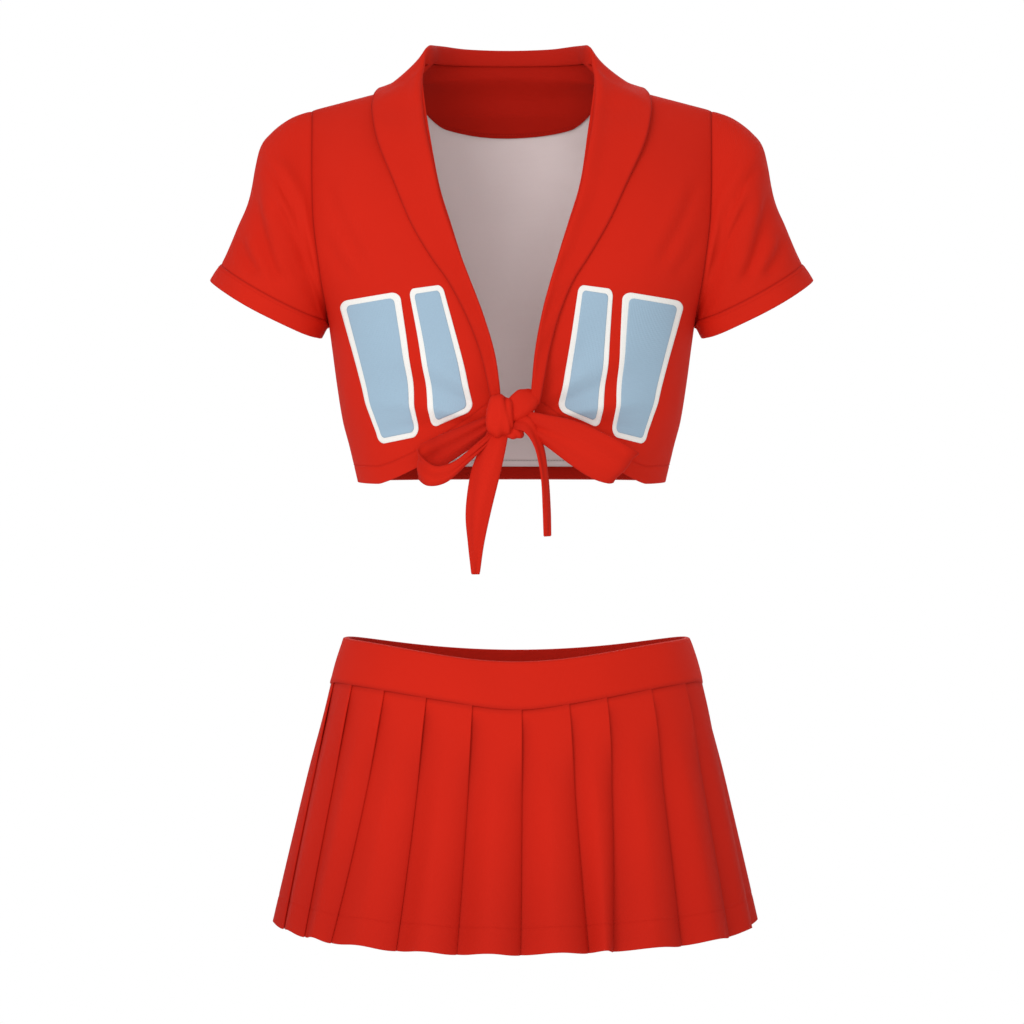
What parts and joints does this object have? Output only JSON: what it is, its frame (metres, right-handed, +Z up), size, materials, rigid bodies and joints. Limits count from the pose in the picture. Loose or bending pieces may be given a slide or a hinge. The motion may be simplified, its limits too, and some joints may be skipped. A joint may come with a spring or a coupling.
{
  "type": "cheer uniform",
  "caption": "Two-piece cheer uniform: a crop top with a shawl collar, short sleeves and a tied front, over a short knife-pleated skirt.",
  "frame": {"origin": "centre of the wearer's waist, just below the top of the waistband", "axes": "+Z up the body, +X the wearer's left, -Y the front"},
  "size_m": [0.5728, 0.3368, 0.8484],
  "materials": {
    "red_knit": "soft double knit, matt, scarlet",
    "white_twill": "tackle twill, off-white",
    "blue_twill": "tackle twill, pale blue",
    "elastic_white": "woven elastic",
    "interfacing_white": "non-woven interfacing"
  },
  "bodies": {
    "skirt_band": {"waistband_front": "red_knit", "waistband_back": "red_knit", "waistband_front_facing": "red_knit", "waistband_back_facing": "red_knit", "waistband_elastic": "elastic_white"},
    "top": {"back_panel": "red_knit", "left_front_panel": "red_knit", "right_front_panel": "red_knit", "back_neck_facing": "red_knit", "collar_stand": "red_knit", "back_collar": "red_knit", "left_outer_stripe_backing": "white_twill", "left_outer_stripe": "blue_twill", "left_inner_stripe_backing": "white_twill", "left_inner_stripe": "blue_twill", "right_outer_stripe_backing": "white_twill", "right_outer_stripe": "blue_twill", "right_inner_stripe_backing": "white_twill", "right_inner_stripe": "blue_twill", "left_upper_collar": "red_knit", "left_collar_interfacing": "interfacing_white", "left_under_collar": "red_knit", "right_upper_collar": "red_knit", "right_collar_interfacing": "interfacing_white", "right_under_collar": "red_knit", "bow_knot_wrap": "red_knit", "bow_knot_core": "red_knit", "left_bow_loop": "red_knit", "right_bow_loop": "red_knit"},
    "left_sleeve": {"left_sleeve": "red_knit", "left_cuff": "red_knit"},
    "right_sleeve": {"right_sleeve": "red_knit", "right_cuff": "red_knit"},
    "left_tail": {"left_bow_tail": "red_knit"},
    "right_tail": {"right_bow_tail": "red_knit"},
    "pleat_01": {"pleat_01": "red_knit"},
    "pleat_02": {"pleat_02": "red_knit"},
    "pleat_03": {"pleat_03": "red_knit"},
    "pleat_04": {"pleat_04": "red_knit"},
    "pleat_05": {"pleat_05": "red_knit"},
    "pleat_06": {"pleat_06": "red_knit"},
    "pleat_07": {"pleat_07": "red_knit"},
    "pleat_08": {"pleat_08": "red_knit"},
    "pleat_09": {"pleat_09": "red_knit"},
    "pleat_10": {"pleat_10": "red_knit"},
    "pleat_11": {"pleat_11": "red_knit"},
    "pleat_12": {"pleat_12": "red_knit"},
    "pleat_13": {"pleat_13": "red_knit"},
    "pleat_14": {"pleat_14": "red_knit"},
    "pleat_15": {"pleat_15": "red_knit"},
    "pleat_16": {"pleat_16": "red_knit"},
    "pleat_17": {"pleat_17": "red_knit"},
    "pleat_18": {"pleat_18": "red_knit"},
    "pleat_19": {"pleat_19": "red_knit"},
    "pleat_20": {"pleat_20": "red_knit"},
    "pleat_21": {"pleat_21": "red_knit"},
    "pleat_22": {"pleat_22": "red_knit"}
  },
  "joints": [
    {"name": "top_lift", "type": "slide", "parent": "skirt_band", "child": "top", "axis": [0, 0, 1], "range_m": [0, 0.35]},
    {"name": "left_sleeve_raise", "type": "hinge", "parent": "top", "child": "left_sleeve", "pos_m": [0.1885, 0, 0.512], "axis": [0, -1, 0], "range_deg": [0, 15]},
    {"name": "right_sleeve_raise", "type": "hinge", "parent": "top", "child": "right_sleeve", "pos_m": [-0.1885, 0, 0.512], "axis": [0, 1, 0], "range_deg": [0, 15]},
    {"name": "left_tail_swing", "type": "hinge", "parent": "top", "child": "left_tail", "pos_m": [0.029, -0.1355, 0.209], "axis": [-1, 0, 0], "range_deg": [-2, 80]},
    {"name": "right_tail_swing", "type": "hinge", "parent": "top", "child": "right_tail", "pos_m": [-0.024, -0.142, 0.2], "axis": [-1, 0, 0], "range_deg": [-2, 80]},
    {"name": "pleat_01_swing", "type": "hinge", "parent": "skirt_band", "child": "pleat_01", "pos_m": [-0.00331, -0.12134, -0.04837], "axis": [-0.9999, 0.0132, 0.0034], "range_deg": [0, 15]},
    {"name": "pleat_02_swing", "type": "hinge", "parent": "skirt_band", "child": "pleat_02", "pos_m": [0.03804, -0.11838, -0.04762], "axis": [-0.9873, -0.1542, -0.0391], "range_deg": [0, 15]},
    {"name": "pleat_03_swing", "type": "hinge", "parent": "skirt_band", "child": "pleat_03", "pos_m": [0.0792, -0.10784, -0.04512], "axis": [-0.939, -0.3352, -0.0775], "range_deg": [0, 15]},
    {"name": "pleat_04_swing", "type": "hinge", "parent": "skirt_band", "child": "pleat_04", "pos_m": [0.11821, -0.08849, -0.04114], "axis": [-0.8342, -0.5418, -0.1027], "range_deg": [0, 15]},
    {"name": "pleat_05_swing", "type": "hinge", "parent": "skirt_band", "child": "pleat_05", "pos_m": [0.15042, -0.05971, -0.03672], "axis": [-0.6294, -0.7708, -0.0986], "range_deg": [0, 15]},
    {"name": "pleat_06_swing", "type": "hinge", "parent": "skirt_band", "child": "pleat_06", "pos_m": [0.16965, -0.02313, -0.0336], "axis": [-0.2697, -0.9618, -0.0477], "range_deg": [0, 15]},
    {"name": "pleat_07_swing", "type": "hinge", "parent": "skirt_band", "child": "pleat_07", "pos_m": [0.17115, 0.01682, -0.03347], "axis": [0.198, -0.9793, 0.042], "range_deg": [0, 15]},
    {"name": "pleat_08_swing", "type": "hinge", "parent": "skirt_band", "child": "pleat_08", "pos_m": [0.15453, 0.0543, -0.03673], "axis": [0.5821, -0.8055, 0.1113], "range_deg": [0, 15]},
    {"name": "pleat_09_swing", "type": "hinge", "parent": "skirt_band", "child": "pleat_09", "pos_m": [0.12397, 0.08451, -0.04189], "axis": [0.8079, -0.5762, 0.1239], "range_deg": [0, 15]},
    {"name": "pleat_10_swing", "type": "hinge", "parent": "skirt_band", "child": "pleat_10", "pos_m": [0.08567, 0.10537, -0.04681], "axis": [0.9255, -0.3658, 0.0981], "range_deg": [0, 15]},
    {"name": "pleat_11_swing", "type": "hinge", "parent": "skirt_band", "child": "pleat_11", "pos_m": [0.04466, 0.11723, -0.0501], "axis": [0.9818, -0.1818, 0.0542], "range_deg": [0, 15]},
    {"name": "pleat_12_swing", "type": "hinge", "parent": "skirt_band", "child": "pleat_12", "pos_m": [0.00331, 0.12134, -0.05133], "axis": [0.9999, -0.0132, 0.0041], "range_deg": [0, 15]},
    {"name": "pleat_13_swing", "type": "hinge", "parent": "skirt_band", "child": "pleat_13", "pos_m": [-0.03804, 0.11838, -0.05044], "axis": [0.987, 0.1542, -0.0464], "range_deg": [0, 15]},
    {"name": "pleat_14_swing", "type": "hinge", "parent": "skirt_band", "child": "pleat_14", "pos_m": [-0.0792, 0.10784, -0.04746], "axis": [0.9378, 0.3348, -0.0919], "range_deg": [0, 15]},
    {"name": "pleat_15_swing", "type": "hinge", "parent": "skirt_band", "child": "pleat_15", "pos_m": [-0.11821, 0.08849, -0.04275], "axis": [0.8324, 0.5406, -0.1217], "range_deg": [0, 15]},
    {"name": "pleat_16_swing", "type": "hinge", "parent": "skirt_band", "child": "pleat_16", "pos_m": [-0.15042, 0.05971, -0.03749], "axis": [0.6281, 0.7693, -0.1169], "range_deg": [0, 15]},
    {"name": "pleat_17_swing", "type": "hinge", "parent": "skirt_band", "child": "pleat_17", "pos_m": [-0.16965, 0.02313, -0.03378], "axis": [0.2696, 0.9613, -0.0566], "range_deg": [0, 15]},
    {"name": "pleat_18_swing", "type": "hinge", "parent": "skirt_band", "child": "pleat_18", "pos_m": [-0.17115, -0.01682, -0.03334], "axis": [-0.198, 0.9796, 0.0352], "range_deg": [0, 15]},
    {"name": "pleat_19_swing", "type": "hinge", "parent": "skirt_band", "child": "pleat_19", "pos_m": [-0.15453, -0.0543, -0.03608], "axis": [-0.5832, 0.8069, 0.0939], "range_deg": [0, 15]},
    {"name": "pleat_20_swing", "type": "hinge", "parent": "skirt_band", "child": "pleat_20", "pos_m": [-0.12397, -0.08451, -0.04043], "axis": [-0.8097, 0.5775, 0.1045], "range_deg": [0, 15]},
    {"name": "pleat_21_swing", "type": "hinge", "parent": "skirt_band", "child": "pleat_21", "pos_m": [-0.08567, -0.10537, -0.04456], "axis": [-0.9268, 0.3663, 0.0827], "range_deg": [0, 15]},
    {"name": "pleat_22_swing", "type": "hinge", "parent": "skirt_band", "child": "pleat_22", "pos_m": [-0.04466, -0.11723, -0.04734], "axis": [-0.9823, 0.1819, 0.0457], "range_deg": [0, 15]}
  ],
  "couplings": [
    {"joint": "pleat_02_swing", "follows": "pleat_01_swing", "ratio": 1},
    {"joint": "pleat_03_swing", "follows": "pleat_01_swing", "ratio": 1},
    {"joint": "pleat_04_swing", "follows": "pleat_01_swing", "ratio": 1},
    {"joint": "pleat_05_swing", "follows": "pleat_01_swing", "ratio": 1},
    {"joint": "pleat_06_swing", "follows": "pleat_01_swing", "ratio": 1},
    {"joint": "pleat_07_swing", "follows": "pleat_01_swing", "ratio": 1},
    {"joint": "pleat_08_swing", "follows": "pleat_01_swing", "ratio": 1},
    {"joint": "pleat_09_swing", "follows": "pleat_01_swing", "ratio": 1},
    {"joint": "pleat_10_swing", "follows": "pleat_01_swing", "ratio": 1},
    {"joint": "pleat_11_swing", "follows": "pleat_01_swing", "ratio": 1},
    {"joint": "pleat_12_swing", "follows": "pleat_01_swing", "ratio": 1},
    {"joint": "pleat_13_swing", "follows": "pleat_01_swing", "ratio": 1},
    {"joint": "pleat_14_swing", "follows": "pleat_01_swing", "ratio": 1},
    {"joint": "pleat_15_swing", "follows": "pleat_01_swing", "ratio": 1},
    {"joint": "pleat_16_swing", "follows": "pleat_01_swing", "ratio": 1},
    {"joint": "pleat_17_swing", "follows": "pleat_01_swing", "ratio": 1},
    {"joint": "pleat_18_swing", "follows": "pleat_01_swing", "ratio": 1},
    {"joint": "pleat_19_swing", "follows": "pleat_01_swing", "ratio": 1},
    {"joint": "pleat_20_swing", "follows": "pleat_01_swing", "ratio": 1},
    {"joint": "pleat_21_swing", "follows": "pleat_01_swing", "ratio": 1},
    {"joint": "pleat_22_swing", "follows": "pleat_01_swing", "ratio": 1}
  ]
}
